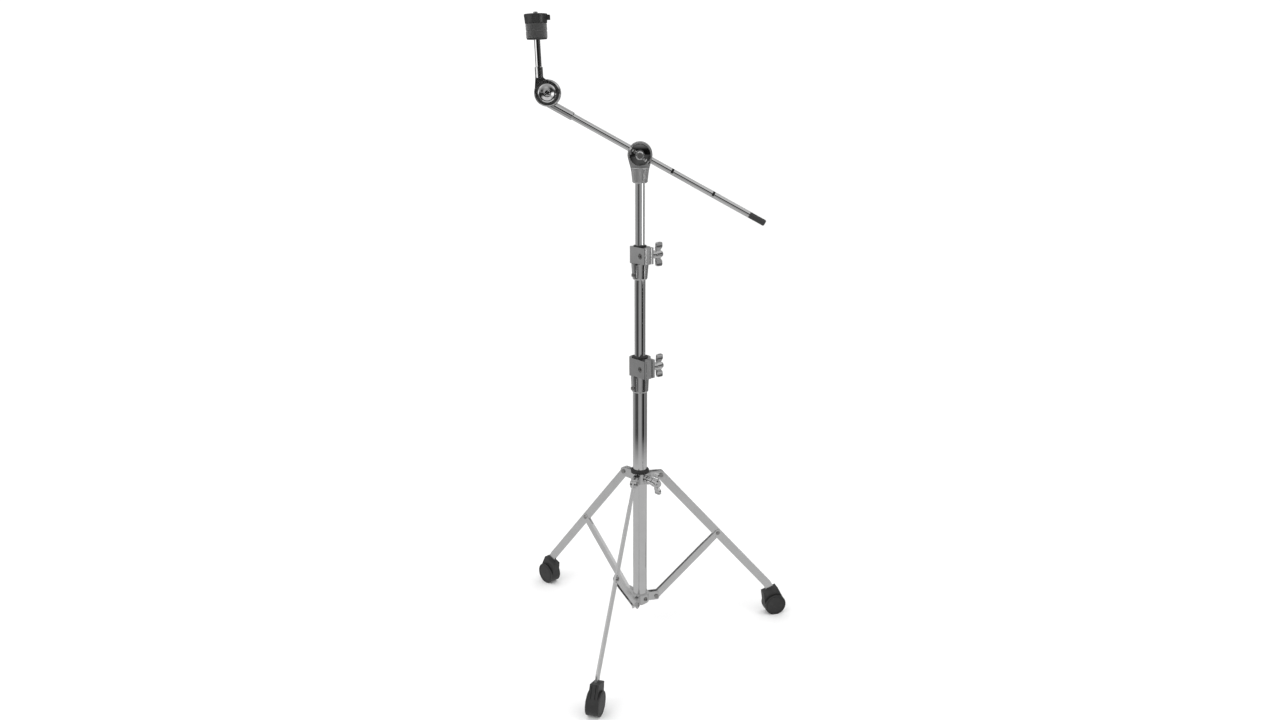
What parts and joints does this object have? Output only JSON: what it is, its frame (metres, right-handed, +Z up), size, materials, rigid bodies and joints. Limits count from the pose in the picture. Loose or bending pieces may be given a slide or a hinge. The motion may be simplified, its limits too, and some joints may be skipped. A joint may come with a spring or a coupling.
{
  "type": "cymbal boom stand",
  "caption": "Folding tripod stand with telescoping tubes, a tilting and sliding boom and a felted cymbal seat under a quick-release cap.",
  "frame": {"origin": "on the floor, on the axis of the base tube, under the centre of the tripod", "axes": "+Z up along the tubes, +X towards the low counterweight end of the boom, -Y towards the front; the boom runs behind the tubes"},
  "size_m": [0.4952, 0.4985, 1.1088],
  "materials": {
    "tube_chrome": "bright polished chrome plate",
    "leg_chrome": "chrome plate on flat bar and folded sheet, softer than the tubes",
    "cast_chrome": "chrome plate on die casting, slight orange peel",
    "nut_chrome": "chrome plate on die-cast wing nut",
    "rod_chrome": "polished chrome plate on a solid steel rod",
    "screw_steel": "zinc-plated steel screw",
    "rivet_steel": "plain steel rivet head",
    "rubber_foot": "matte moulded black rubber, fine grain",
    "black_nylon": "moulded black nylon",
    "black_cap": "matte black moulded plastic",
    "black_mark": "black filled index line",
    "black_end": "dark plastic end cap",
    "felt": "pressed grey wool felt"
  },
  "bodies": {
    "base": {"base_tube": "tube_chrome", "base_tube_plug": "black_nylon", "leg_collar": "cast_chrome", "collar_screw": "screw_steel", "collar_pins": "rivet_steel", "lower_clamp": "cast_chrome", "lower_bushing": "black_nylon", "lower_clamp_bolt": "screw_steel", "lower_key_screw": "screw_steel"},
    "lower_nut": {"lower_wing_nut": "nut_chrome"},
    "hub": {"leg_hub": "cast_chrome", "hub_ring": "black_nylon", "hub_pins": "rivet_steel"},
    "hub_screw": {"hub_wing_screw": "nut_chrome"},
    "leg_front": {"leg_front": "leg_chrome", "foot_front": "rubber_foot"},
    "leg_right": {"leg_right": "leg_chrome", "foot_right": "rubber_foot"},
    "leg_left": {"leg_left": "leg_chrome", "foot_left": "rubber_foot"},
    "strut_front": {"strut_front": "leg_chrome", "strut_rivets_front": "rivet_steel"},
    "strut_right": {"strut_right": "leg_chrome", "strut_rivets_right": "rivet_steel"},
    "strut_left": {"strut_left": "leg_chrome", "strut_rivets_left": "rivet_steel"},
    "middle": {"middle_tube": "tube_chrome", "middle_tube_plug": "black_nylon", "upper_clamp": "cast_chrome", "upper_clamp_bolt": "screw_steel", "upper_key_screw": "screw_steel"},
    "upper_nut": {"upper_wing_nut": "nut_chrome"},
    "swivel": {"upper_bushing": "black_nylon"},
    "upper": {"upper_tube": "tube_chrome", "upper_tube_plug": "black_nylon", "tilter_base": "cast_chrome", "tilter_cap": "tube_chrome"},
    "tilter": {"tilter_head": "cast_chrome", "tilter_eye_bolt": "screw_steel"},
    "tilter_nut": {"tilter_wing_nut": "nut_chrome"},
    "boom": {"boom_rod": "rod_chrome", "boom_marks": "black_mark", "boom_end_cap": "black_end", "cymbal_tilter_base": "cast_chrome"},
    "cymbal": {"cymbal_tilter_head": "cast_chrome", "cymbal_tilter_bolt": "tube_chrome", "stem": "tube_chrome", "cup_washer": "black_nylon", "stem_sleeve": "black_nylon", "lower_felt": "felt"},
    "cymbal_nut": {"cymbal_tilter_wing_nut": "nut_chrome"},
    "top_felt": {"upper_felt": "felt"},
    "cap": {"release_cap": "black_cap", "release_spring": "screw_steel"},
    "button": {"release_button": "black_cap"}
  },
  "joints": [
    {"name": "hub_slide", "type": "slide", "parent": "base", "child": "hub", "axis": [0, 0, 1], "range_m": [0, 0.09098]},
    {"name": "leg_front_fold", "type": "hinge", "parent": "hub", "child": "leg_front", "pos_m": [-0.01028, -0.03658, 0.31232], "axis": [0.9627, -0.2706, 0], "range_deg": [0, 36]},
    {"name": "strut_front_fold", "type": "hinge", "parent": "base", "child": "strut_front", "pos_m": [-0.00825, -0.02936, 0.069], "axis": [0.9627, -0.2706, 0], "range_deg": [-38.55, 0]},
    {"name": "leg_right_fold", "type": "hinge", "parent": "hub", "child": "leg_right", "pos_m": [0.03682, 0.00939, 0.31232], "axis": [-0.247, 0.969, 0], "range_deg": [0, 36]},
    {"name": "strut_right_fold", "type": "hinge", "parent": "base", "child": "strut_right", "pos_m": [0.02956, 0.00753, 0.069], "axis": [-0.247, 0.969, 0], "range_deg": [-38.55, 0]},
    {"name": "leg_left_fold", "type": "hinge", "parent": "hub", "child": "leg_left", "pos_m": [-0.02654, 0.0272, 0.31232], "axis": [-0.7157, -0.6984, 0], "range_deg": [0, 36]},
    {"name": "strut_left_fold", "type": "hinge", "parent": "base", "child": "strut_left", "pos_m": [-0.0213, 0.02183, 0.069], "axis": [-0.7157, -0.6984, 0], "range_deg": [-38.55, 0]},
    {"name": "hub_screw_turn", "type": "hinge", "parent": "hub", "child": "hub_screw", "pos_m": [0.01606, -0.01646, 0.31012], "axis": [0.6984, -0.7157, 0], "range_deg": [0, 360]},
    {"name": "lower_nut_turn", "type": "hinge", "parent": "base", "child": "lower_nut", "pos_m": [0.01189, -0.01417, 0.5195], "axis": [0.766, 0.6428, 0], "range_deg": [0, 360]},
    {"name": "middle_tube_slide", "type": "slide", "parent": "base", "child": "middle", "axis": [0, 0, 1], "range_m": [-0.13, 0.12]},
    {"name": "upper_nut_turn", "type": "hinge", "parent": "middle", "child": "upper_nut", "pos_m": [0.00996, -0.01187, 0.7165], "axis": [0.766, 0.6428, 0], "range_deg": [0, 360]},
    {"name": "upper_tube_swivel", "type": "hinge", "parent": "middle", "child": "swivel", "pos_m": [0, 0, 0.731], "axis": [0, 0, 1], "continuous": true},
    {"name": "upper_tube_slide", "type": "slide", "parent": "swivel", "child": "upper", "axis": [0, 0, 1], "range_m": [-0.1, 0.1]},
    {"name": "boom_tilt", "type": "hinge", "parent": "upper", "child": "tilter", "pos_m": [0, 0, 0.8834], "axis": [0, 1, 0], "range_deg": [-90, 45]},
    {"name": "tilter_nut_turn", "type": "hinge", "parent": "tilter", "child": "tilter_nut", "pos_m": [0, -0.0066, 0.8834], "axis": [0, -1, 0], "range_deg": [0, 360]},
    {"name": "boom_slide", "type": "slide", "parent": "tilter", "child": "boom", "axis": [0.878, 0, -0.4787], "range_m": [-0.185, 0.1]},
    {"name": "cymbal_tilt", "type": "hinge", "parent": "boom", "child": "cymbal", "pos_m": [-0.15245, 0.0215, 0.9819], "axis": [0, 1, 0], "range_deg": [-100, 90]},
    {"name": "cymbal_nut_turn", "type": "hinge", "parent": "cymbal", "child": "cymbal_nut", "pos_m": [-0.15245, 0.03005, 0.9819], "axis": [0, 1, 0], "range_deg": [0, 360]},
    {"name": "cap_lift", "type": "slide", "parent": "cymbal", "child": "cap", "axis": [-0.0349, 0, 0.9994], "range_m": [0, 0.08]},
    {"name": "top_felt_lift", "type": "slide", "parent": "cymbal", "child": "top_felt", "axis": [-0.0349, 0, 0.9994], "range_m": [0, 0.04]},
    {"name": "button_press", "type": "slide", "parent": "cap", "child": "button", "axis": [0.9994, 0, 0.0349], "range_m": [-0.003, 0], "deforming": ["release_spring"]}
  ],
  "couplings": [
    {"joint": "leg_front_fold", "follows": "hub_slide", "rad_per_m": 6.9063},
    {"joint": "strut_front_fold", "follows": "hub_slide", "rad_per_m": -7.3947},
    {"joint": "leg_right_fold", "follows": "hub_slide", "rad_per_m": 6.9063},
    {"joint": "strut_right_fold", "follows": "hub_slide", "rad_per_m": -7.3947},
    {"joint": "leg_left_fold", "follows": "hub_slide", "rad_per_m": 6.9063},
    {"joint": "strut_left_fold", "follows": "hub_slide", "rad_per_m": -7.3947},
    {"joint": "top_felt_lift", "follows": "cap_lift", "ratio": 0.5}
  ]
}
